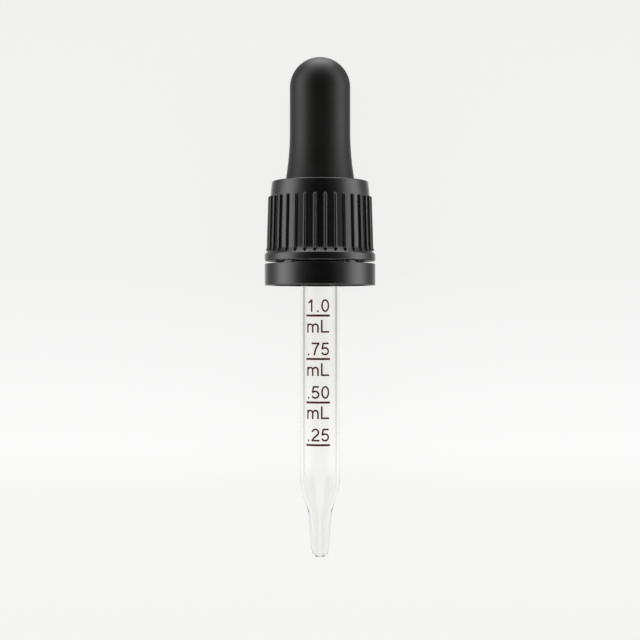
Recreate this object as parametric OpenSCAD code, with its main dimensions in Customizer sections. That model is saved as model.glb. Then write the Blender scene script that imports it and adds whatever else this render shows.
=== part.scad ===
// Tamper-evident dropper: a rubber bulb clamped under a ribbed screw cap, and a drawn
// glass pipette held in the bulb. It lies level, on the cap's flange and the tamper band.

/* [Rubber bulb] */
// Outside diameter of the bulb's straight part
bulb_d = 12.1; // [10:0.1:14.6]
// Height of the bulb above the cap
bulb_h = 24.85; // [20:0.05:34]
// Wall of the bulb
bulb_wall = 1.2; // [0.8:0.1:1.8]
// How far the bulb's foot flares out from its straight part, on the radius
foot_flare = 0.9; // [0.3:0.1:1.2]
// Height of the flared stretch above the cap
flare_h = 9.95; // [6:0.05:12]
// How far the sealing flange under the deck stays inside the thread root, on the radius
seal_inset = 0.55; // [0.2:0.05:1]
// Thickness of the sealing flange
seal_t = 2; // [1.2:0.1:2.6]
// Length of glass gripped by the bulb, from the sealing face up
held_l = 9.2; // [6:0.1:12]

/* [Screw cap] */
// Diameter over the root of the neck thread
thread_root_d = 18; // [15.2:0.1:24]
// Wall of the skirt outside the thread root, at the top of the ribs
skirt_wall = 0.8; // [0.6:0.02:1.4]
// How far the skirt widens from the top of the ribs to their foot, on the radius
draft = 0.5; // [0:0.02:0.6]
// Height of the ribbed grip, above the flange's slope
grip_h = 10.75; // [8:0.05:14]
// Number of ribs round the grip
ribs = 32; // [20:1:36]
// Width of one rib
rib_w = 0.68; // [0.4:0.02:0.7]
// How far the ribs stand out from the skirt
rib_out = 0.42; // [0.35:0.01:0.8]
// Height of the smooth band above the ribs
band_h = 2.85; // [2:0.05:4]
// Radius of the cap's top corner
top_round = 0.35; // [0.2:0.05:1.2]
// Thickness of the deck round the bulb
deck_t = 1.15; // [1:0.05:1.6]
// How far the flange stands out beyond the ribs, on the radius
flange_out = 0.35; // [0.1:0.01:0.5]
// Height of the flange's upright edge
flange_h = 1.45; // [1:0.05:2]
// Height of the slope from the grip down to the flange
slope_h = 0.85; // [0.6:0.05:1.4]
// Radius of the moulded outer edges
edge_round = 0.2; // [0.1:0.05:0.35]

/* [Tamper band] */
// Height of the tamper band
ring_h = 4.35; // [3:0.05:6]
// Wall of the tamper band
ring_wall = 1.15; // [0.9:0.05:1.4]
// Gap between the cap and the band
gap = 0.5; // [0.4:0.05:1]
// Angle of each of the four breakable bridges from the front-to-back line
bridge_angle = 36; // [20:1:70]
// Width of one bridge
bridge_w = 2.2; // [0.6:0.1:3]
// Thickness of a bridge, measured on the radius
bridge_t = 0.6; // [0.4:0.05:0.8]
// How far the retaining bead stands in from the band
bead = 0.4; // [0.2:0.05:0.5]

/* [Glass pipette] */
// Length of glass below the sealing face
reach = 71.8; // [50:0.1:110]
// Outside diameter of the glass tube
tube_d = 7.9; // [6:0.1:9.5]
// Wall of the glass tube
tube_wall = 0.78; // [0.6:0.02:1]
// Outside diameter of the drawn tip
tip_d = 3.86; // [3:0.02:5]
// Wall of the drawn tip
tip_wall = 1.08; // [0.6:0.02:1.1]
// Diameter of the fire-polished orifice
orifice_d = 1.1; // [0.5:0.05:1.2]
// Diameter of the tip's end face
end_d = 1.74; // [1.4:0.02:2]
// Height of the tip's rounded nose
nose_h = 2; // [1:0.1:3]
// Length of the straight stretch above the nose
tip_l = 2; // [1:0.1:10]
// Length of the tapered stretch above it
taper_l = 5; // [3:0.1:8]
// How much the taper adds to the tip's diameter
taper_add = 0.84; // [0.2:0.02:1]
// Height of the shoulder between the taper and the tube
glass_shoulder_h = 6.3; // [4:0.1:9]

/* [Hidden] */
$fn = 96;
ROUND_STEPS = 6;
CURVE_STEPS = 14;
// Moulding clearance between the cap and the rubber
RUBBER_CLEARANCE = 0.05;
// How far cutters, ribs and bridges run past the faces they meet
OVERRUN = 0.3;
// Shape of the drawn shoulder: 1 starts it sharply, more starts it gently
SHOULDER_POWER = 1.1;

// Heights above the end of the tip
seal_z = reach;
deck_under_z = seal_z + seal_t;
deck_z = deck_under_z + deck_t;
band_z = deck_z - band_h;
grip_foot_z = band_z - grip_h;
flange_top_z = grip_foot_z - slope_h;
flange_z = flange_top_z - flange_h;
ring_top_z = flange_z - gap;
ring_z = ring_top_z - ring_h;
bulb_top_z = deck_z + bulb_h;
tube_top_z = seal_z + held_l;

// Radii
root_r = thread_root_d / 2;
seal_r = root_r - seal_inset;
bulb_r = bulb_d / 2;
foot_r = bulb_r + foot_flare;
tube_r = tube_d / 2;
tip_r = tip_d / 2;
hole_r = foot_r + RUBBER_CLEARANCE;
band_r = root_r + skirt_wall;
grip_foot_r = band_r + draft;
flange_r = grip_foot_r + rib_out + flange_out;
draft_slope = draft / grip_h;
band_top_r = band_r - draft_slope * band_h;

// Points along an arc about c, from angle a to angle b
function arc(c, r, a, b, steps = ROUND_STEPS) =
    [for (i = [0:steps]) let (t = a + (b - a) * i / steps) c + r * [cos(t), sin(t)]];

// Radius of the bulb's flare at a height above the deck: an arc that meets the straight part
flare_arc = (pow(flare_h, 2) + pow(foot_flare, 2)) / (2 * foot_flare);
function flare_r(h) = bulb_r + flare_arc - sqrt(pow(flare_arc, 2) - pow(flare_h - h, 2));

// Stations of the drawn end of the glass: height, outer radius and wall
taper_z = nose_h + tip_l;
neck_z = taper_z + taper_l;
neck_r = tip_r + taper_add / 2;
function drawn_z(u) = neck_z + glass_shoulder_h * u;
function drawn_r(u) = neck_r + (tube_r - neck_r) * sin(90 * pow(u, SHOULDER_POWER));
function drawn_wall(u) = tip_wall + (tube_wall - tip_wall) * u;
nose_step = tip_r - end_d / 2;
nose_arc = (pow(nose_h, 2) + pow(nose_step, 2)) / (2 * nose_step);
function nose_r(h) = tip_r - nose_arc + sqrt(pow(nose_arc, 2) - pow(nose_h - h, 2));

// Lays a piece, built upright from the tip's end, along +Y with its front side up
module laid() {
    translate([0, -bulb_top_z / 2, flange_r]) rotate([-90, 0, 0]) children();
}

// Moulded rubber teat: flange, flared foot, straight body and domed end, hollow above the glass
module rubber_bulb() {
    outside = concat(
        [[tube_r, seal_z], [seal_r, seal_z], [seal_r, deck_under_z], [foot_r, deck_under_z]],
        [for (i = [0:CURVE_STEPS]) let (h = flare_h * i / CURVE_STEPS) [flare_r(h), deck_z + h]],
        [[bulb_r, bulb_top_z - bulb_r], [tube_r, bulb_top_z - bulb_r]]
    );
    cavity_r = bulb_r - bulb_wall;
    color("#1c1c1b") laid() difference() {
        union() {
            rotate_extrude() polygon(outside);
            translate([0, 0, tube_top_z]) cylinder(r = bulb_r, h = bulb_top_z - bulb_r - tube_top_z);
            translate([0, 0, bulb_top_z - bulb_r]) sphere(r = bulb_r);
        }
        translate([0, 0, seal_z - OVERRUN]) cylinder(r = tube_r, h = held_l + OVERRUN);
        translate([0, 0, tube_top_z]) cylinder(r = cavity_r, h = bulb_top_z - bulb_r - tube_top_z);
        translate([0, 0, bulb_top_z - bulb_r]) sphere(r = cavity_r);
    }
}

// One raised rib: straight sides, a half-round crest and a rounded top end, leaning with the draft
module rib() {
    rib_r = rib_w / 2;
    web = rib_out - rib_r + OVERRUN;
    foot_z = flange_top_z - OVERRUN;
    length = band_z - rib_r - foot_z;
    foot_out = grip_foot_r + draft_slope * (grip_foot_z - foot_z) + rib_out - rib_r;
    translate([0, -foot_out, foot_z]) rotate([-atan(draft_slope), 0, 0]) {
        cylinder(r = rib_r, h = length, $fn = 24);
        translate([-rib_r, 0, 0]) cube([rib_w, web, length]);
        translate([0, 0, length]) {
            sphere(r = rib_r, $fn = 24);
            rotate([-90, 0, 0]) cylinder(r = rib_r, h = web, $fn = 24);
        }
    }
}

// The moulded cap: deck, smooth band, ribbed grip and flange round the neck thread's bore
module cap_shell() {
    outline = concat(
        [[root_r, flange_z]],
        arc([flange_r - edge_round, flange_z + edge_round], edge_round, -90, 0),
        [[flange_r, flange_top_z], [grip_foot_r, grip_foot_z], [band_r, band_z]],
        arc([band_top_r - top_round, deck_z - top_round], top_round, 0, 90),
        [[hole_r, deck_z], [hole_r, deck_under_z], [seal_r + RUBBER_CLEARANCE, deck_under_z]],
        [[seal_r + RUBBER_CLEARANCE, seal_z], [root_r, seal_z]]
    );
    rotate_extrude() polygon(outline);
    for (i = [0:ribs - 1]) rotate([0, 0, 360 / ribs * (i + 0.5)]) rib();
}

// The tear-off band below the cap, with a bead inside that catches under the neck
module tamper_ring() {
    inner_r = flange_r - ring_wall;
    bead_z = ring_z + ring_h / 2;
    rotate_extrude() polygon(concat(
        arc([flange_r - edge_round, ring_z + edge_round], edge_round, -90, 0),
        arc([flange_r - edge_round, ring_top_z - edge_round], edge_round, 0, 90),
        [[inner_r, ring_top_z], [inner_r - bead, bead_z], [inner_r, ring_z + edge_round]],
        [[inner_r + edge_round, ring_z]]
    ));
}

// Cap and tamper band are one moulding, joined only by the thin bridges
module screw_cap() {
    bridge_r = flange_r - ring_wall + OVERRUN / 2;
    color("#171717") laid() union() {
        cap_shell();
        tamper_ring();
        for (side = [0, 180], a = [-bridge_angle, bridge_angle]) rotate([0, 0, side + a])
            translate([-bridge_w / 2, bridge_r, ring_top_z - OVERRUN])
                cube([bridge_w, bridge_t, gap + 2 * OVERRUN]);
    }
}

// Clear tube drawn down to a thick-walled tip with a fire-polished end
module glass_pipette() {
    nose_steps = [for (i = [0:ROUND_STEPS]) nose_h * i / ROUND_STEPS];
    shoulder_steps = [for (i = [0:CURVE_STEPS]) i / CURVE_STEPS];
    outside = concat(
        [for (h = nose_steps) [nose_r(h), h]],
        [[tip_r, taper_z]],
        [for (u = shoulder_steps) [drawn_r(u), drawn_z(u)]],
        [[tube_r, tube_top_z]]
    );
    bore = concat(
        [[orifice_d / 2, 0], [tip_r - tip_wall, nose_h / 2], [tip_r - tip_wall, taper_z]],
        [for (u = shoulder_steps) [drawn_r(u) - drawn_wall(u), drawn_z(u)]],
        [[tube_r - tube_wall, tube_top_z]]
    );
    bore_down = [for (i = [len(bore) - 1:-1:0]) bore[i]];
    color("#dfe8e8", 0.4) laid() rotate_extrude() polygon(concat(outside, bore_down));
}

rubber_bulb();
screw_cap();
glass_pipette();
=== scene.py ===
import math

import bmesh
import bpy
from mathutils import Matrix, Vector


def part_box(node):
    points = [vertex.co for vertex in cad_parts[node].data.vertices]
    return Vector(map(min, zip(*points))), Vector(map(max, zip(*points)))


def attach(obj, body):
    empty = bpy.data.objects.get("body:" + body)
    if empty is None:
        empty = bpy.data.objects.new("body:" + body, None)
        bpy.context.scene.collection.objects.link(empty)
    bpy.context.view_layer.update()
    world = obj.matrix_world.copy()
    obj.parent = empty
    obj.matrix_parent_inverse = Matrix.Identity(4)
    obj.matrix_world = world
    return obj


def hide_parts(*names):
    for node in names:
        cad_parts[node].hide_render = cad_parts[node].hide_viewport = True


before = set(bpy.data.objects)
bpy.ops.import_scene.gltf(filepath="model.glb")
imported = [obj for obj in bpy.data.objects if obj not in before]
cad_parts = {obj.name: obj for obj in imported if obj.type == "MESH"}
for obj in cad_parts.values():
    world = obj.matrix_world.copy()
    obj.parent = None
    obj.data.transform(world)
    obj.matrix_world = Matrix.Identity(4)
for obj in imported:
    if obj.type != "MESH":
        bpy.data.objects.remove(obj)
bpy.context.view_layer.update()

# ---- Rubber bulb ---------------------------------------------------------------------------
# The teat is one hollow moulding in soft black rubber: a sealing flange, a flared foot and a
# round end. It is pressed in a blasted steel mould and has no parting line on its sides. The
# foot comes up through the cap's deck, and the flange below is clamped on the bottle's neck.
mm = 0.001
tube_low, bulb_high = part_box("glass_pipette")[0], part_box("rubber_bulb")[1]
cap_low, cap_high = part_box("screw_cap")
# Every round piece is drawn by its heights above the end of the tip, along this axis
tip_end = Vector((0, tube_low.y, (cap_low.z + cap_high.z) / 2))
along = Vector((0, 1, 0))


def arc(radius_to, height_to, round_off, start, end, steps):
    """Points of (radius, height) on an arc about a centre, between two angles in degrees."""
    turns = [math.radians(start + (end - start) * step / steps) for step in range(steps + 1)]
    return [
        (radius_to + round_off * math.cos(turn), height_to + round_off * math.sin(turn))
        for turn in turns
    ]


def turned(outline, steps):
    """Spins a closed outline of (radius, height) pairs in millimetres round the axis."""
    shape = bmesh.new()
    points = [
        shape.verts.new(tip_end + Vector((0, height, radius)) * mm) for radius, height in outline
    ]
    edges = [shape.edges.new(pair) for pair in zip(points, points[1:] + points[:1])]
    bmesh.ops.spin(
        shape, geom=points + edges, cent=tip_end, axis=along, angle=math.tau,
        steps=steps, use_merge=True, use_duplicate=False,
    )
    bmesh.ops.remove_doubles(shape, verts=shape.verts[:], dist=1e-7)
    bmesh.ops.recalc_face_normals(shape, faces=shape.faces[:])
    return shape


def linear(hex_colour):
    """A hex sRGB colour as the linear colour that a shader takes."""
    parts = [int(hex_colour[place:place + 2], 16) / 255 for place in (1, 3, 5)]
    return [v / 12.92 if v <= 0.04045 else ((v + 0.055) / 1.055) ** 2.4 for v in parts] + [1]


def add(tree, kind, sockets, **settings):
    """Adds a node with its settings, and gives each named socket a value or a link."""
    made = tree.nodes.new("ShaderNode" + kind)
    for name, value in settings.items():
        setattr(made, name, value)
    for name, value in sockets.items():
        if isinstance(value, bpy.types.NodeSocket):
            tree.links.new(value, made.inputs[name])
        else:
            made.inputs[name].default_value = value
    return made


def ramp(tree, factor, stops):
    """A colour ramp from a list of (position, colour) stops."""
    made = add(tree, "ValToRGB", {"Fac": factor})
    shown = made.color_ramp.elements
    for step, (position, colour) in enumerate(stops):
        stop = shown[step] if step < 2 else shown.new(position)
        stop.position, stop.color = position, colour
    return made.outputs["Color"]


def blank(name):
    """A new node material, with its tree and its output node."""
    made = bpy.data.materials.new(name)
    made.use_nodes = True
    made.node_tree.nodes.clear()
    return made, made.node_tree, made.node_tree.nodes.new("ShaderNodeOutputMaterial")


def grown(name, shape, material, crease):
    """Makes a shape an object that rides on the dropper's one body."""
    mesh = bpy.data.meshes.new(name)
    shape.to_mesh(mesh)
    shape.free()
    mesh.shade_smooth()
    mesh.set_sharp_from_angle(angle=math.radians(crease))
    mesh.materials.append(material)
    made = bpy.data.objects.new(name, mesh)
    bpy.context.scene.collection.objects.link(made)
    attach(made, "root")
    return made


# Black natural rubber, off a blasted mould: a broad soft sheen with no sharp reflection. The
# blasting leaves a grain of about 0.05 mm, drawn at 0.14 mm so that it shows.
rubber, tree, out = blank("moulded_black_rubber")
place = add(tree, "TexCoord", {}).outputs["Object"]
bloom = add(tree, "TexNoise", {"Vector": place, "Scale": 190, "Detail": 3, "Roughness": 0.6})
grain = add(tree, "TexNoise", {"Vector": place, "Scale": 7000, "Detail": 2, "Roughness": 0.5})
sag = add(tree, "TexNoise", {"Vector": place, "Scale": 260, "Detail": 1})
rubber_colour = ramp(tree, bloom.outputs["Fac"], [
    (0.3, linear("#0b0b0a")), (0.75, linear("#100f0e")),
])
rubber_gloss = add(tree, "MapRange", {
    "Value": bloom.outputs["Fac"], "From Min": 0.3, "From Max": 0.7, "To Min": 0.37, "To Max": 0.43,
})
# Squeezing polishes the middle of the bulb, and the foot by the cap stays duller
height_up = add(tree, "SeparateXYZ", {"Vector": place})
polish = add(tree, "MapRange", {
    "Value": height_up.outputs["Y"], "From Min": 0.026, "From Max": 0.036,
    "To Min": 0.185, "To Max": 0.225,
})
waves = add(tree, "Bump", {"Height": sag.outputs["Fac"], "Strength": 0.25, "Distance": 0.00006})
bumps = add(tree, "Bump", {
    "Height": grain.outputs["Fac"], "Strength": 0.3, "Distance": 0.000012,
    "Normal": waves.outputs["Normal"],
})
shader = add(tree, "BsdfPrincipled", {
    "Base Color": rubber_colour, "Roughness": rubber_gloss.outputs["Result"], "IOR": 1.52,
    "Specular IOR Level": polish.outputs["Result"], "Normal": bumps.outputs["Normal"],
})
tree.links.new(shader.outputs["BSDF"], out.inputs["Surface"])

deck_z = 74.95
bulb_r, bulb_end, foot_r, flare_h = 6.05, (bulb_high.y - tip_end.y) / mm, 6.95, 9.95
seal_r, seal_z, seal_top_z, seal_round = 8.45, 71.8, 73.78, 0.25
cavity_r, throat_r, throat_top, throat_lead = 4.85, 3.96, 81.05, 0.2
# The foot flares on one arc that leaves the bulb's straight side smoothly
flare_arc = (flare_h ** 2 + (foot_r - bulb_r) ** 2) / (2 * (foot_r - bulb_r))
flare = []
for step in range(17):
    rise = flare_h * step / 16
    inset = math.sqrt(flare_arc ** 2 - (flare_h - rise) ** 2)
    flare.append((bulb_r + flare_arc - inset, deck_z + rise))
# The outline starts and ends under the flange, and meets the axis twice at the round end
bulb_outline = (
    arc(seal_r - seal_round, seal_z + seal_round, seal_round, -90, 0, 4)
    + arc(seal_r - seal_round, seal_top_z - seal_round, seal_round, 0, 90, 4)
    + [(foot_r + 0.04, seal_top_z), (foot_r, seal_top_z + 0.07)] + flare
    + arc(0, bulb_end - bulb_r, bulb_r, 0, 90, 26)
    + arc(0, bulb_end - bulb_r, cavity_r, 90, 0, 14)
    + [(cavity_r, throat_top), (throat_r, throat_top)]
    + [(throat_r, seal_z + throat_lead), (throat_r + throat_lead, seal_z)]
)
bulb = grown("bulb", turned(bulb_outline, 160), rubber, 40)
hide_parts("rubber_bulb")

# ---- Screw cap and tamper band -------------------------------------------------------------
# The cap is one injection moulding in black polypropylene. Thirty-two ribs stand on its skirt
# for grip, and a flange under them carries the tear-off band on thin bridges. It unscrews from
# its core on the neck thread, and draws out of the cavity on the skirt's taper.
rib_top_z, rib_foot_z, flange_z, flange_round = 72.0, 61.15, 59.06, 0.2
flange_r = (cap_high.x - cap_low.x) / 2 / mm
ribs, rib_r, rib_out, rib_fillet, rib_foot_h = 32, 0.34, 0.5, 0.09, 0.06
# Height and radius of the cap's wall between its ribs: the slope above the flange, the skirt, and
# the smooth band up to the deck
wall = [
    (60.34, flange_r), (60.43, 11.03), (60.54, 10.93), (60.65, 10.82), (60.78, 10.7),
    (60.92, 10.58), (61.07, 10.47), (61.22, 10.37), (61.35, 10.29), (61.48, 10.22), (61.62, 10.16),
    (64.0, 10.11), (66.4, 10.03), (69.0, 9.95), (70.5, 9.91), (71.5, 9.88),
    (72.3, 9.87), (73.2, 9.81), (73.8, 9.74), (74.4, 9.66), (75.0, 9.58),
]


def skirt_r(height):
    """Radius of the wall between the ribs, which widens from the deck down to the flange."""
    for (low, low_r), (high, high_r) in zip(wall, wall[1:]):
        if height <= high:
            return low_r + (high_r - low_r) * (height - low) / (high - low)


def rib_rise(across, height):
    """How far a rib stands out from the skirt, at a distance from its middle."""
    below_foot = (rib_foot_z + rib_foot_h - height) / rib_foot_h
    past = max(0, height - (rib_top_z - rib_r), rib_r * below_foot)
    away = math.hypot(across, past)
    if away <= rib_r:
        return rib_out - rib_r + math.sqrt(rib_r ** 2 - away ** 2)
    near = max(0, rib_fillet - (away - rib_r))
    return rib_fillet - math.sqrt(rib_fillet ** 2 - near ** 2)


top_round = 0.3
top_r = skirt_r(deck_z - top_round)
hole_r, hole_bevel, seat_r, bore_r, seat_top_z = 6.95, 0.1, 8.5, 9.0, 73.8
# The rows of vertices are close together where a rib ends and where the slope curves
heights = [74.4, 74.0, 73.6, 73.2, 72.8, 72.4]
heights += [72.3 - 0.05 * step for step in range(17)]
heights += [71.3, 70.9, 70.5, 69.8, 69, 67.7, 66.4, 65.2, 64.0, 62.6, 61.8, 61.5]
heights += [61.4 - 0.03 * step for step in range(12)]
heights += [61.0 - 0.05 * step for step in range(14)]
# The vertex just above the bore's bevel keeps the shading of the bore level
cap_outline = (
    [(hole_r, seat_top_z), (hole_r, deck_z - hole_bevel), (hole_r + hole_bevel, deck_z)]
    + [(8.2, deck_z)] + arc(top_r - top_round, deck_z - top_round, top_round, 90, 0, 7)
    + [(skirt_r(height), height) for height in heights]
    + arc(flange_r - flange_round, flange_z + flange_round, flange_round, 0, -90, 6)
    + [(bore_r + 0.2, flange_z), (bore_r, flange_z + 0.2), (bore_r, flange_z + 0.26)]
    + [(bore_r, 60.5), (bore_r, seal_z), (seat_r, seal_z), (seat_r, seat_top_z)]
)
shell = bmesh.new()
corners = [
    shell.verts.new(tip_end + Vector((0, height, radius)) * mm) for radius, height in cap_outline
]
lines = [shell.edges.new(pair) for pair in zip(corners, corners[1:] + corners[:1])]
half_step = math.pi / ribs
middle_r = skirt_r(66) + rib_out / 2
# Columns of vertices from a rib's middle outwards: over its round, its fillet, and the plain wall
across_rib = [rib_r * math.sin(math.radians(turn)) for turn in (0, 18, 36, 54, 70, 90)]
across_rib += [rib_r + 0.012, rib_r + 0.04, rib_r + rib_fillet, 0.62, 0.81]
stations = [-x / middle_r for x in reversed(across_rib)] + [x / middle_r for x in across_rib[1:]]
stations = [-half_step] + stations + [half_step]
bmesh.ops.rotate(
    shell, verts=corners, cent=tip_end, matrix=Matrix.Rotation(stations[0], 3, along)
)
strip = corners + lines
for turn, next_turn in zip(stations, stations[1:]):
    strip = bmesh.ops.spin(
        shell, geom=strip, cent=tip_end, axis=along, angle=next_turn - turn,
        steps=1, use_merge=False, use_duplicate=False,
    )["geom_last"]
# One rib's share of the skirt is pushed out to the rib's shape, and then repeated
for vert in shell.verts:
    off = vert.co - tip_end
    height, radius = off.y / mm, math.hypot(off.x, off.z) / mm
    if radius < bore_r + 0.5 or not rib_foot_z - 0.1 < height < rib_top_z + 0.3:
        continue
    across = math.atan2(off.x, off.z) * middle_r
    ribbed = skirt_r(height) + rib_rise(across, height)
    if ribbed > radius:
        stretch = ribbed / radius
        vert.co.x, vert.co.z = tip_end.x + off.x * stretch, tip_end.z + off.z * stretch
bmesh.ops.rotate(
    shell, verts=shell.verts[:], cent=tip_end, matrix=Matrix.Rotation(half_step, 3, along)
)
bmesh.ops.spin(
    shell, geom=shell.verts[:] + shell.edges[:] + shell.faces[:], cent=tip_end, axis=along,
    angle=math.tau * (ribs - 1) / ribs, steps=ribs - 1, use_merge=False, use_duplicate=True,
)
bmesh.ops.remove_doubles(shell, verts=shell.verts[:], dist=2e-7)
bmesh.ops.recalc_face_normals(shell, faces=shell.faces[:])

# The neck thread: one and a half turns of a rounded ridge inside the skirt
thread_pitch, thread_turns, thread_steps = 3.0, 1.5, 108
ridge = [(9.05, 61.1), (8.62, 61.35), (8.34, 61.7), (8.34, 61.95), (8.62, 62.3), (9.05, 62.55)]
thread = bmesh.new()
face = thread.faces.new([
    thread.verts.new(tip_end + Vector((0, height, radius)) * mm) for radius, height in ridge
])
bmesh.ops.spin(
    thread, geom=[face], cent=tip_end, axis=along,
    dvec=along * (thread_pitch * thread_turns / thread_steps * mm),
    angle=math.tau * thread_turns, steps=thread_steps, use_merge=False, use_duplicate=False,
)
bmesh.ops.remove_doubles(thread, verts=thread.verts[:], dist=1e-7)
bmesh.ops.recalc_face_normals(thread, faces=thread.faces[:])

# Black polypropylene: a satin skin with a wide soft highlight. Long streaks 0.3 mm apart run with
# the flow of the melt, and fine handling marks cross them.
plastic, tree, out = blank("black_polypropylene")
place = add(tree, "TexCoord", {}).outputs["Object"]
cloud = add(tree, "TexNoise", {"Vector": place, "Scale": 320, "Detail": 3, "Roughness": 0.55})
flow = add(tree, "Mapping", {"Vector": place, "Scale": (1, 0.12, 1)})
streak = add(tree, "TexNoise", {"Vector": flow.outputs["Vector"], "Scale": 3300, "Detail": 2})
cross = add(tree, "Mapping", {"Vector": place, "Scale": (0.15, 1, 0.15)})
mark = add(tree, "TexNoise", {"Vector": cross.outputs["Vector"], "Scale": 2400, "Detail": 1})
plastic_colour = ramp(tree, cloud.outputs["Fac"], [
    (0.3, linear("#060606")), (0.75, linear("#0a0a09")),
])
worn = add(tree, "Math", {0: cloud.outputs["Fac"], 1: mark.outputs["Fac"]}, operation="MULTIPLY")
plastic_gloss = add(tree, "MapRange", {
    "Value": worn.outputs["Value"], "From Min": 0.12, "From Max": 0.4,
    "To Min": 0.24, "To Max": 0.27,
})
bumps = add(tree, "Bump", {"Height": streak.outputs["Fac"], "Strength": 0.1, "Distance": 0.000004})
shader = add(tree, "BsdfPrincipled", {
    "Base Color": plastic_colour, "Roughness": plastic_gloss.outputs["Result"], "IOR": 1.49,
    "Normal": bumps.outputs["Normal"],
})
tree.links.new(shader.outputs["BSDF"], out.inputs["Surface"])

cap = grown("cap", shell, plastic, 50)
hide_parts("screw_cap")
grown("neck_thread", thread, plastic, 50)

# The tear-off band: a plain ring with a bead inside that catches under the bottle's neck
ring_top_z, ring_z, ring_in = 58.51, 54.24, 9.92
foot_round, edge_round, inner_round = 0.14, 0.07, 0.1
ring_outline = (
    arc(flange_r - foot_round, ring_z + foot_round, foot_round, -90, 0, 5)
    + arc(flange_r - edge_round, ring_top_z - edge_round, edge_round, 0, 90, 5)
    + arc(ring_in + inner_round, ring_top_z - inner_round, inner_round, 90, 180, 3)
    + [(ring_in, 57.5), (ring_in - 0.2, 57.0), (ring_in - 0.37, 56.6), (ring_in - 0.4, 56.4)]
    + [(ring_in - 0.37, 55.0), (ring_in - 0.37, ring_z)]
)
grown("tamper_band", turned(ring_outline, 224), plastic, 50)

# The bridges: small tabs across the gap, set back from the face, which tear when it is opened.
# Each is a block on the band with a thinner one on it that reaches the flange
tabs = bmesh.new()
tab_h = 0.5
# Angle from the front or the back, width, and depth behind the face
bridge_sizes = [(-36, 2.1, 0.45), (36, 1.75, 0.45), (27.2, 0.5, 0.62), (22.8, 0.3, 0.75)]
# Height of a block's middle, its thickness, and how much further back it starts
blocks = [(58.54, 0.6, 0), (58.86, 0.3, 0.35)]
for side in (0, 180):
    for angle, width, inset in bridge_sizes:
        round_axis = Matrix.Rotation(math.radians(angle + side), 3, along)
        for height, deep, back in blocks:
            spot = Vector((0, height, flange_r - (inset + back) - deep / 2)) * mm
            made = bmesh.ops.create_cube(tabs, size=1)["verts"]
            bmesh.ops.scale(tabs, vec=Vector((width, tab_h, deep)) * mm, verts=made)
            bmesh.ops.translate(tabs, vec=spot, verts=made)
            bmesh.ops.rotate(tabs, verts=made, matrix=round_axis)
            bmesh.ops.translate(tabs, vec=tip_end, verts=made)
bmesh.ops.bevel(
    tabs, geom=tabs.edges[:], offset=0.05 * mm, offset_type="OFFSET", segments=2, profile=0.5,
    affect="EDGES", material=-1,
)
bmesh.ops.recalc_face_normals(tabs, faces=tabs.faces[:])
grown("bridges", tabs, plastic, 50)

# ---- Glass pipette -------------------------------------------------------------------------
# A length of clear neutral glass tube, drawn down in a flame to a thick tip and fire-polished at
# its end. It is pushed into the bulb's throat, and the stretched rubber grips it.
tube_r, tube_wall, tip_r, tip_wall, orifice_r = 3.95, 0.83, 1.93, 1.08, 0.55
straight_z, neck_z, neck_r, shoulder_h, tube_top = 4.0, 9.0, 2.35, 6.3, 81.0
orifice_round, top_edge_round, tube_in = 0.16, 0.3, tube_r - tube_wall
# The fire-polished nose, from its flat end up to the tip's straight stretch
nose = [
    (0.9, 0.02), (1.02, 0.1), (1.44, 0.52), (1.56, 0.72), (1.65, 1.0), (1.74, 1.45),
    (1.81, 1.9), (1.88, 2.4), (tip_r, 3.0),
]
# The shoulder swells from the neck like a sine, and its wall thins to the tube's as it goes
shoulder, shoulder_in = [], []
for step in range(29):
    part = step / 28
    radius = neck_r + (tube_r - neck_r) * math.sin(math.pi / 2 * part ** 1.1)
    inner = radius - tip_wall - (tube_wall - tip_wall) * part
    shoulder.append((radius, neck_z + shoulder_h * part))
    shoulder_in.append((inner, neck_z + shoulder_h * part))
tube_outline = (
    arc(orifice_r + orifice_round, orifice_round, orifice_round, 180, 270, 4)
    + nose + [(tip_r, straight_z)] + shoulder + [(tube_r, height) for height in (30, 45, 60)]
    + arc(tube_r - top_edge_round, tube_top - top_edge_round, top_edge_round, 0, 90, 4)
    + arc(tube_in + top_edge_round, tube_top - top_edge_round, top_edge_round, 90, 180, 4)
    + [(tube_in, height) for height in (60, 45, 30)] + shoulder_in[::-1]
    + [(tip_r - tip_wall, straight_z), (tip_r - tip_wall, 2.0), (orifice_r + 0.2, 0.9)]
)
# Clear drawn glass: sharp bright reflections and almost no colour. The drawing leaves faint lines
# along the tube, about 0.5 mm apart.
glass, tree, out = blank("clear_drawn_glass")
place = add(tree, "TexCoord", {}).outputs["Object"]
flow = add(tree, "Mapping", {"Vector": place, "Scale": (1, 0.03, 1)})
draw_line = add(tree, "TexNoise", {"Vector": flow.outputs["Vector"], "Scale": 1900, "Detail": 1})
bumps = add(tree, "Bump", {
    "Height": draw_line.outputs["Fac"], "Strength": 0.1, "Distance": 0.00001,
})
# The rounded end bends the light aside. Over the last half millimetre or so, the glass's colour is
# painted a little greyer for it: painted shade
height_up = add(tree, "SeparateXYZ", {"Vector": place})
tip_painted_shade = add(tree, "MapRange", {
    "Value": height_up.outputs["Y"], "From Min": -0.04915, "From Max": -0.0494,
    "To Min": 0, "To Max": 1,
})
glass_tint_and_painted_shade = ramp(tree, tip_painted_shade.outputs["Result"], [(0, linear("#fdfdfc")), (1, linear("#e6e7e8"))])
shader = add(tree, "BsdfPrincipled", {
    "Base Color": glass_tint_and_painted_shade, "Roughness": 0, "IOR": 1.5, "Transmission Weight": 1,
    "Normal": bumps.outputs["Normal"],
})
tree.links.new(shader.outputs["BSDF"], out.inputs["Surface"])
pipette = grown("pipette", turned(tube_outline, 128), glass, 40)
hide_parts("glass_pipette")

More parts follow.
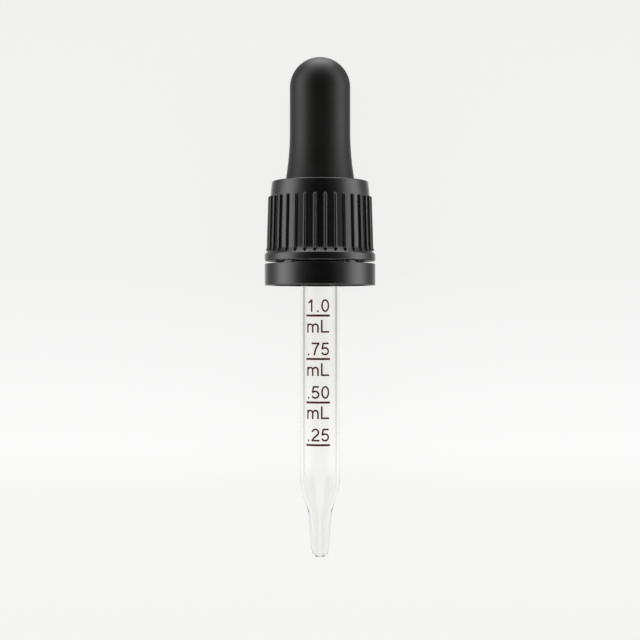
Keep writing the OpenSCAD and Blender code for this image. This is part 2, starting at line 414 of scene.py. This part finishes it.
# ---- Printed scale -------------------------------------------------------------------------
# Volume marks at every quarter of a millilitre, in plain figures with a line under each. They are
# screen printed on the tube in brown ceramic ink and fired, so the print stands a little proud.
cap_height, stroke, right_edge, side_gap = 2.52, 0.345, 1.86, 0.07
marks, mark_left, mark_right, mark_weight = (48.18, 39.6, 31.01, 22.6), -2.96, 2.02, 1.22


def bow(across, up, wide, high, start, end, steps=10):
    """Points on an oval arc, in parts of the figures' height."""
    turns = [math.radians(start + (end - start) * step / steps) for step in range(steps + 1)]
    return [(across + wide * math.cos(turn), up + high * math.sin(turn)) for turn in turns]


# Middle lines of each figure's strokes, and its width, in parts of the figures' height
figures = {
    ".": (0.39, [[(0.13, 0.063), (0.256, 0.063)]]),
    "0": (0.777, [bow(0.384, 0.5, 0.262, 0.442, 90, 450, 28)]),
    "1": (0.777, [[(0.46, 0), (0.46, 1)], [(0.44, 0.96), (0.36, 0.84), (0.17, 0.72)]]),
    "2": (0.777, [
        bow(0.372, 0.70, 0.25, 0.243, 172, -38, 14) + [(0.40, 0.40), (0.22, 0.24), (0.12, 0.063)],
        [(0.06, 0.063), (0.70, 0.063)],
    ]),
    "5": (0.777, [
        [(0.66, 0.93), (0.20, 0.93)], [(0.225, 0.96), (0.14, 0.47)],
        bow(0.365, 0.318, 0.272, 0.262, 146, -158, 18),
    ]),
    "7": (0.777, [
        [(0.07, 0.93), (0.70, 0.93)], [(0.66, 0.93), (0.49, 0.68), (0.36, 0.38), (0.29, 0)],
    ]),
    "m": (1.163, [
        [(0.11, 0), (0.11, 0.72)],
        [(0.54, 0), (0.54, 0.46)] + bow(0.335, 0.46, 0.205, 0.208, 0, 165, 9),
        [(0.97, 0), (0.97, 0.46)] + bow(0.765, 0.46, 0.205, 0.208, 0, 165, 9),
    ]),
    "L": (0.777, [[(0.105, 0), (0.105, 1)], [(0.05, 0.063), (0.71, 0.063)]]),
}
# Text and its base line's height above the end of the tip
rows = [
    ("1.0", 48.88), ("mL", 44.80), (".75", 40.34), ("mL", 36.25), (".50", 31.76), ("mL", 27.75),
    (".25", 23.34),
]
strokes = []
for text, base_line in rows:
    row_width = sum(figures[letter][0] for letter in text)
    pen = right_edge + side_gap * cap_height - row_width * cap_height
    for letter in text:
        width, lines = figures[letter]
        for line in lines:
            strokes.append([(pen + x * cap_height, base_line + y * cap_height) for x, y in line])
        pen += width * cap_height
strokes += [[(mark_left, mark_z), (mark_right, mark_z)] for mark_z in marks]
pen_lines = bpy.data.curves.new("pen_lines", "CURVE")
pen_lines.dimensions = "3D"
pen_lines.bevel_depth = stroke / 2
pen_lines.bevel_resolution = 2
pen_lines.use_fill_caps = True
# Each stroke gets a point every quarter of a millimetre or so, to bend round the tube
bend_step = 0.24
for line in strokes:
    dense = [line[0]]
    for (x0, y0), (x1, y1) in zip(line, line[1:]):
        parts = max(1, math.ceil(math.hypot(x1 - x0, y1 - y0) / bend_step))
        dense += [
            (x0 + (x1 - x0) * step / parts, y0 + (y1 - y0) * step / parts)
            for step in range(1, parts + 1)
        ]
    spline = pen_lines.splines.new("POLY")
    spline.points.add(len(dense) - 1)
    for point, (x, y) in zip(spline.points, dense):
        point.co = (x, y, 0, 1)
        # The four marks are printed a little heavier than the figures
        point.radius = mark_weight if line in strokes[-len(marks):] else 1
drawn = bpy.data.objects.new("pen_lines", pen_lines)
print_shape = bmesh.new()
bpy.context.scene.collection.objects.link(drawn)
flat = bpy.data.meshes.new_from_object(drawn.evaluated_get(bpy.context.evaluated_depsgraph_get()))
print_shape.from_mesh(flat)
bpy.data.objects.remove(drawn)
bpy.data.meshes.remove(flat)
# Only the upper half of each stroke is kept, thinned to a fired ink film and bent round the tube
bmesh.ops.bisect_plane(
    print_shape, geom=print_shape.verts[:] + print_shape.edges[:] + print_shape.faces[:],
    plane_co=(0, 0, 0), plane_no=(0, 0, 1), clear_inner=True, dist=1e-5,
)
bmesh.ops.remove_doubles(print_shape, verts=print_shape.verts[:], dist=1e-4)
bmesh.ops.recalc_face_normals(print_shape, faces=print_shape.faces[:])
film, gap_under = 0.035, 0.004
for vert in print_shape.verts:
    x, y, z = vert.co
    turn, radius = x / tube_r, tube_r + gap_under + z / (stroke / 2) * film
    vert.co = tip_end + Vector((radius * math.sin(turn), y, radius * math.cos(turn))) * mm
# Fired brown ink: nearly matt, slightly uneven where the screen let more or less ink through
ink, tree, out = blank("fired_ceramic_ink")
place = add(tree, "TexCoord", {}).outputs["Object"]
load = add(tree, "TexNoise", {"Vector": place, "Scale": 1500, "Detail": 3, "Roughness": 0.6})
ink_colour = ramp(tree, load.outputs["Fac"], [(0.3, linear("#34130d")), (0.7, linear("#481d13"))])
bumps = add(tree, "Bump", {"Height": load.outputs["Fac"], "Strength": 0.3, "Distance": 0.00001})
shader = add(tree, "BsdfPrincipled", {
    "Base Color": ink_colour, "Roughness": 0.5, "IOR": 1.5, "Specular IOR Level": 0.2,
    "Normal": bumps.outputs["Normal"],
})
tree.links.new(shader.outputs["BSDF"], out.inputs["Surface"])
grown("scale_marks", print_shape, ink, 40)

# ---- Studio --------------------------------------------------------------------------------
# A pale table under the dropper and a pale room round it. Two long soft boxes stand at its sides
# with a weaker glow beyond the bulb, and the ceiling behind the camera is dark.
backdrop_white, table_half = 0.905, 4


def grey(value, blue=None):
    """A neutral linear colour, or a slightly warm one where the blue is less."""
    return (value, value, value if blue is None else blue, 1)


floor_shape = bmesh.new()
bmesh.ops.create_grid(floor_shape, x_segments=1, y_segments=1, size=table_half)
floor_mesh = bpy.data.meshes.new("table_top")
floor_shape.to_mesh(floor_mesh)
floor_shape.free()
floor = bpy.data.objects.new("table_top", floor_mesh)
bpy.context.scene.collection.objects.link(floor)
paper, tree, out = blank("pale_table")
rays = add(tree, "LightPath", {})
place = add(tree, "TexCoord", {}).outputs["Object"]
along_table = add(tree, "SeparateXYZ", {"Vector": place})
# The table's glow for the camera is painted lighter and darker along the 128 mm that the camera
# sees: painted light, brightest beside the tube
reach = add(tree, "MapRange", {
    "Value": along_table.outputs["Y"], "From Min": -0.064, "From Max": 0.064,
    "To Min": 0, "To Max": 1,
})
shade = ramp(tree, reach.outputs["Result"], [
    (0.0, grey(0.85, 0.84)), (0.2, grey(0.865, 0.857)), (0.27, grey(0.898, 0.893)),
    (0.45, grey(0.858, 0.853)), (0.56, grey(0.828, 0.821)), (1.0, grey(0.812, 0.805)),
])
glow = add(tree, "Emission", {"Color": shade, "Strength": rays.outputs["Is Camera Ray"]})
# The diffuse part takes the dropper's soft shadow
matt = add(tree, "BsdfDiffuse", {"Color": grey(0.07)})
seen = add(tree, "AddShader", {0: glow.outputs["Emission"], 1: matt.outputs["BSDF"]})
clear = add(tree, "BsdfTransparent", {})
mirrored = add(tree, "MixShader", {
    0: rays.outputs["Is Glossy Ray"], 1: seen.outputs["Shader"], 2: clear.outputs["BSDF"],
})
# Through the glass the table shows painted shade: brightest straight below, and darker out at the
# dropper's sides
aside = add(tree, "Math", {0: along_table.outputs["X"]}, operation="ABSOLUTE")
# The ramps across the table run out to 40 mm from the dropper's middle
across_mm = 40
aside_part = add(tree, "Math", {
    0: aside.outputs["Value"], 1: 1 / (across_mm * mm),
}, operation="MULTIPLY")
dimmed = ramp(tree, aside_part.outputs["Value"], [
    (0.08, grey(1)), (0.13, grey(0.97)), (0.2, grey(0.88)), (0.3, grey(0.8)),
    (0.38, grey(0.5)), (0.5, grey(0.35)), (1.0, grey(0.5)),
])
# That painted shade shows most by the cap, and the tip has a painted shade of its own
near_cap = add(tree, "MapRange", {
    "Value": along_table.outputs["Y"], "From Min": -0.034, "From Max": -0.002,
    "To Min": 0.3, "To Max": 1,
})
near_tip = add(tree, "MapRange", {
    "Value": along_table.outputs["Y"], "From Min": -0.0335, "From Max": -0.0365,
    "To Min": 0, "To Max": 1,
})
tip_shade = ramp(tree, aside_part.outputs["Value"], [
    (0.03, grey(1)), (0.06, grey(0.88)), (0.16, grey(0.87)), (0.3, grey(0.97)), (0.5, grey(1)),
])
# Painted light and shade along the table, as the glass shows it
below = ramp(tree, reach.outputs["Result"], [
    (0.1, grey(0.92, 0.905)), (0.25, grey(0.95, 0.935)),
    (0.42, grey(0.86, 0.838)), (0.55, grey(0.865, 0.843)),
])
below_dimmed = add(tree, "Mix", {
    "Factor": near_cap.outputs["Result"], 6: below, 7: dimmed,
}, data_type="RGBA", blend_type="MULTIPLY")
below_tip = add(tree, "Mix", {
    "Factor": near_tip.outputs["Result"], 6: below_dimmed.outputs[2], 7: tip_shade,
}, data_type="RGBA", blend_type="MULTIPLY")
seen_through = add(tree, "Emission", {"Color": below_tip.outputs[2], "Strength": 1.1})
mixed = add(tree, "MixShader", {
    0: rays.outputs["Is Transmission Ray"], 1: mirrored.outputs["Shader"],
    2: seen_through.outputs["Emission"],
})
tree.links.new(mixed.outputs["Shader"], out.inputs["Surface"])
floor_mesh.materials.append(paper)

room = bpy.data.worlds.new("pale_room")
room.use_nodes = True
bpy.context.scene.world = room
# The room's brightness depends on the kind of ray, so it isn't sampled as a lamp
room.cycles.sampling_method = "NONE"
tree = room.node_tree
tree.nodes.clear()
out = tree.nodes.new("ShaderNodeOutputWorld")
rays = add(tree, "LightPath", {})
way = add(tree, "SeparateXYZ", {"Vector": add(tree, "TexCoord", {}).outputs["Generated"]})
down = add(tree, "Math", {0: way.outputs["Z"]}, operation="ARCCOSINE")
turned_down = add(tree, "Math", {0: down.outputs["Value"], 1: math.pi}, operation="DIVIDE")
# The boxes on the right stand a little lower than those on the left
right_lower = 0.012
sideways = add(tree, "Math", {0: way.outputs["X"], 1: right_lower}, operation="MULTIPLY")
polar = add(tree, "Math", {
    0: turned_down.outputs["Value"], 1: sideways.outputs["Value"],
}, operation="SUBTRACT")
# Brightness by the angle from straight up, as parts of a full soft box
box_glow = [
    (0, 0.01), (22, 0.012), (34, 0.05), (44, 0.10), (50, 0.16), (55, 0.27), (60, 0.48),
    (66, 0.74), (72, 0.86), (78, 0.97), (84, 1.0), (91, 0.94), (98, 0.62), (106, 0.33),
    (114, 0.17), (124, 0.11), (135, 0.12), (148, 0.17), (160, 0.27), (180, 0.3),
]
glows = ramp(tree, polar.outputs["Value"], [(angle / 180, grey(v)) for angle, v in box_glow])
# How far a direction points along the dropper, seen from above: -1 past the tip, 1 past the bulb.
# What the square root is taken of is kept just above nought
flat_part = add(tree, "Math", {0: way.outputs["Z"], 1: way.outputs["Z"]}, operation="MULTIPLY")
level = add(tree, "Math", {0: 1.0001, 1: flat_part.outputs["Value"]}, operation="SUBTRACT")
length = add(tree, "Math", {0: level.outputs["Value"]}, operation="SQRT")
north = add(tree, "Math", {0: way.outputs["Y"], 1: length.outputs["Value"]}, operation="DIVIDE")
north_part = add(tree, "Math", {
    0: north.outputs["Value"], 1: north.outputs["Value"],
}, operation="MULTIPLY")
# The side boxes fade towards both ends, and the left one is slightly the brighter
end_drop = add(tree, "MapRange", {
    "Value": north.outputs["Value"], "From Min": -1, "From Max": 1, "To Min": 0.65, "To Max": 0.58,
})
drop = add(tree, "Math", {
    0: north_part.outputs["Value"], 1: end_drop.outputs["Result"],
}, operation="MULTIPLY")
sides = add(tree, "Math", {0: 1, 1: drop.outputs["Value"]}, operation="SUBTRACT")
one_sided = add(tree, "MapRange", {
    "Value": way.outputs["X"], "From Min": -1, "From Max": 1, "To Min": 4.3, "To Max": 4.0,
})
lit = add(tree, "Math", {
    0: sides.outputs["Value"], 1: one_sided.outputs["Result"],
}, operation="MULTIPLY")
side_boxes = add(tree, "Background", {"Color": glows, "Strength": lit.outputs["Value"]})
# The box beyond the bulb is narrower, and stands a little lower than the dropper
end_glow = [
    (66, 0), (75, 0.05), (80, 0.12), (88, 0.36), (98, 0.85), (109, 0.95), (120, 0.6),
    (132, 0.22), (148, 0.05),
]
end_glows = ramp(tree, polar.outputs["Value"], [(angle / 180, grey(v)) for angle, v in end_glow])
end_reach = add(tree, "MapRange", {
    "Value": north.outputs["Value"], "From Min": 0.85, "From Max": 0.98,
    "To Min": 0, "To Max": 5.8,
})
end_box = add(tree, "Background", {"Color": end_glows, "Strength": end_reach.outputs["Result"]})
studio = add(tree, "AddShader", {
    0: side_boxes.outputs["Background"], 1: end_box.outputs["Background"],
})
# What the camera sees behind the table, what lights the matt parts, and what the glass shows
pale = add(tree, "Background", {"Color": grey(0.98, 0.975), "Strength": backdrop_white})
dim = add(tree, "Background", {"Color": grey(1), "Strength": 0.35})
clear_glow = ramp(tree, polar.outputs["Value"], [
    (0.25, grey(0.2)), (0.4, grey(0.6)), (0.48, grey(0.88)), (0.56, grey(0.93)),
])
clear_air = add(tree, "Background", {"Color": clear_glow})
# Rubber and plastic reflect the boxes, unless the ray has been through the glass. The glass's
# own sharp reflections, and what is seen through it, show the plain pale air
outside = add(tree, "Math", {0: rays.outputs["Transmission Depth"], 1: 0.5}, operation="LESS_THAN")
off_skin = add(tree, "Math", {
    0: rays.outputs["Is Glossy Ray"], 1: outside.outputs["Value"],
}, operation="MULTIPLY")
by_gloss = add(tree, "MixShader", {
    0: off_skin.outputs["Value"], 1: dim.outputs["Background"], 2: studio.outputs["Shader"],
})
by_sharp = add(tree, "MixShader", {
    0: rays.outputs["Is Singular Ray"], 1: by_gloss.outputs["Shader"],
    2: clear_air.outputs["Background"],
})
by_glass = add(tree, "MixShader", {
    0: rays.outputs["Is Transmission Ray"], 1: by_sharp.outputs["Shader"],
    2: clear_air.outputs["Background"],
})
by_eye = add(tree, "MixShader", {
    0: rays.outputs["Is Camera Ray"], 1: by_glass.outputs["Shader"], 2: pale.outputs["Background"],
})
tree.links.new(by_eye.outputs["Shader"], out.inputs["Surface"])

# Three plain soft boxes light the matt parts. They aren't seen in the reflections
box_wide, box_long = 0.4, 0.7
soft_boxes = [
    ("soft_box_left", (-0.6, 0.05, 0.45), 2.4), ("soft_box_right", (0.6, 0.05, 0.45), 2.2),
    ("soft_box_above", (0, 0.05, 0.8), 1.6),
]
for name, spot, watts in soft_boxes:
    box_light = bpy.data.lights.new(name, "AREA")
    box_light.shape, box_light.energy = "RECTANGLE", watts
    box_light.size, box_light.size_y = box_wide, box_long
    lamp = bpy.data.objects.new(name, box_light)
    lamp.location = spot
    lamp.rotation_euler = (-lamp.location).to_track_quat("-Z", "Y").to_euler()
    lamp.visible_camera = lamp.visible_glossy = lamp.visible_transmission = False
    bpy.context.scene.collection.objects.link(lamp)

# The camera looks straight down on the dropper, near the middle of its length, and takes in
# 128 mm of the table's length at the dropper's axis
eye_aside, eye_h, eye_distance, seen_mm, sensor = -0.01, 47.3, 280.0, 128, 36
lens = bpy.data.cameras.new("eye")
lens.sensor_width, lens.lens = sensor, sensor * eye_distance / seen_mm
lens.clip_start, lens.clip_end = 0.01, 20
eye = bpy.data.objects.new("eye", lens)
eye.location = tip_end + Vector((eye_aside, eye_h, eye_distance)) * mm
bpy.context.scene.collection.objects.link(eye)
bpy.context.scene.camera = eye
bpy.context.scene.view_settings.view_transform = "Standard"
